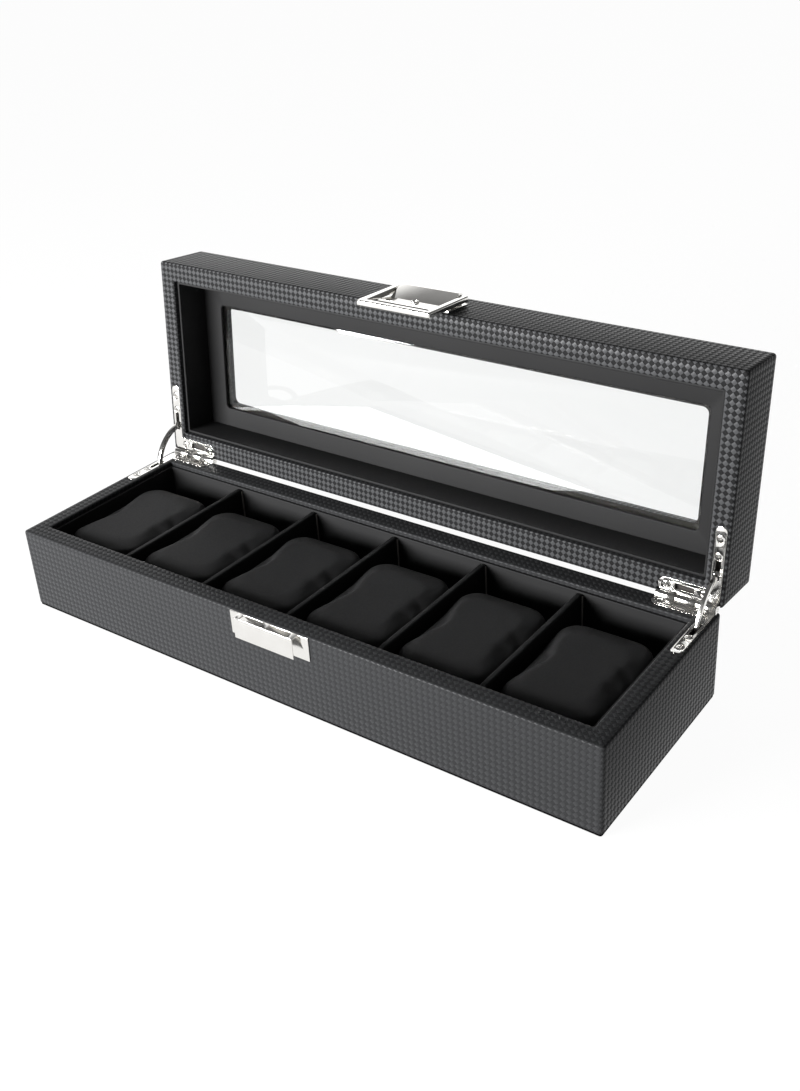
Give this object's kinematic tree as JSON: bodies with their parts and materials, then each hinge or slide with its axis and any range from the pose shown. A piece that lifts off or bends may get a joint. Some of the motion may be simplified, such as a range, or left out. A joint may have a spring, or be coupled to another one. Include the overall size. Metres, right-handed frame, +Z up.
{
  "type": "watch box",
  "caption": "Long case with a hinged glass-topped lid, quadrant-hinge stays, a loop catch and divided slots that hold removable watch cushions.",
  "frame": {"origin": "centre of the flat underside, on the surface the box stands on", "axes": "+X along the box's length, to the right seen from the front; -Y is the front with the catch; +Z up"},
  "size_m": [0.32, 0.1494, 0.1525],
  "materials": {
    "leatherette": "charcoal leatherette embossed with a fine basket weave, soft sheen, turned in over the boards",
    "fibreboard": "black-dyed medium-density fibreboard, hidden under the cover",
    "felt": "black felt sheet",
    "lining": "smooth matte black leatherette on card",
    "pillow_cloth": "smooth matte black leatherette over a soft filling",
    "nickel": "bright nickel plate",
    "window_glass": "clear float glass with a pale green edge"
  },
  "bodies": {
    "base": {"base_felt": "felt", "base_cover": "leatherette", "base_front_board": "fibreboard", "base_back_board": "fibreboard", "base_left_board": "fibreboard", "base_right_board": "fibreboard", "base_bottom_board": "fibreboard", "base_liner_walls": "lining", "base_liner_floor": "lining", "divider_1": "lining", "divider_2": "lining", "divider_3": "lining", "divider_4": "lining", "divider_5": "lining", "catch_keeper": "nickel", "base_hinge_leaf_left": "nickel", "base_hinge_leaf_right": "nickel", "base_screw_side_front_left": "nickel", "base_screw_side_back_left": "nickel", "base_screw_inner_left": "nickel", "base_screw_corner_left": "nickel", "base_screw_side_front_right": "nickel", "base_screw_side_back_right": "nickel", "base_screw_inner_right": "nickel", "base_screw_corner_right": "nickel", "hinge_pin_left": "nickel", "hinge_pin_right": "nickel"},
    "lid": {"lid_cover": "leatherette", "lid_front_board": "fibreboard", "lid_back_board": "fibreboard", "lid_left_board": "fibreboard", "lid_right_board": "fibreboard", "lid_top_board": "fibreboard", "lid_liner_walls": "lining", "window_liner_panel": "lining", "window_glass": "window_glass", "hasp_plate": "nickel", "hasp_rivet": "nickel", "lid_hinge_leaf_left": "nickel", "lid_hinge_leaf_right": "nickel", "lid_screw_side_front_left": "nickel", "lid_screw_side_back_left": "nickel", "lid_screw_inner_left": "nickel", "lid_screw_corner_left": "nickel", "lid_screw_side_front_right": "nickel", "lid_screw_side_back_right": "nickel", "lid_screw_inner_right": "nickel", "lid_screw_corner_right": "nickel", "stay_pin_left": "nickel", "stay_pin_right": "nickel"},
    "stay_left": {"stay_arm_left": "nickel"},
    "stay_right": {"stay_arm_right": "nickel"},
    "loop": {"catch_loop": "nickel"},
    "pillow_1": {"pillow_1": "pillow_cloth"},
    "pillow_2": {"pillow_2": "pillow_cloth"},
    "pillow_3": {"pillow_3": "pillow_cloth"},
    "pillow_4": {"pillow_4": "pillow_cloth"},
    "pillow_5": {"pillow_5": "pillow_cloth"},
    "pillow_6": {"pillow_6": "pillow_cloth"}
  },
  "joints": [
    {"name": "lid_hinge", "type": "hinge", "parent": "base", "child": "lid", "pos_m": [0, 0.0528, 0.04285], "axis": [1, 0, 0], "range_deg": [0, 95.2], "deforming": ["catch_keeper"]},
    {"name": "stay_left_pivot", "type": "hinge", "parent": "lid", "child": "stay_left", "pos_m": [-0.156, 0.0554, 0.05818], "axis": [1, 0, 0], "range_deg": [-48, 0]},
    {"name": "stay_right_pivot", "type": "hinge", "parent": "lid", "child": "stay_right", "pos_m": [0.156, 0.0554, 0.05818], "axis": [1, 0, 0], "range_deg": [-48, 0]},
    {"name": "loop_pivot", "type": "hinge", "parent": "lid", "child": "loop", "pos_m": [0, 0.07821, 0.14938], "axis": [-1, 0, 0], "range_deg": [0, 170]},
    {"name": "pillow_1_lift", "type": "slide", "parent": "base", "child": "pillow_1", "axis": [0, 0, -1], "range_m": [-0.045, 0]},
    {"name": "pillow_2_lift", "type": "slide", "parent": "base", "child": "pillow_2", "axis": [0, 0, -1], "range_m": [-0.045, 0]},
    {"name": "pillow_3_lift", "type": "slide", "parent": "base", "child": "pillow_3", "axis": [0, 0, -1], "range_m": [-0.045, 0]},
    {"name": "pillow_4_lift", "type": "slide", "parent": "base", "child": "pillow_4", "axis": [0, 0, -1], "range_m": [-0.045, 0]},
    {"name": "pillow_5_lift", "type": "slide", "parent": "base", "child": "pillow_5", "axis": [0, 0, -1], "range_m": [-0.045, 0]},
    {"name": "pillow_6_lift", "type": "slide", "parent": "base", "child": "pillow_6", "axis": [0, 0, -1], "range_m": [-0.045, 0]}
  ],
  "couplings": [
    {"joint": "stay_left_pivot", "follows": "lid_hinge", "ratio": -0.5},
    {"joint": "stay_right_pivot", "follows": "lid_hinge", "ratio": -0.5}
  ]
}
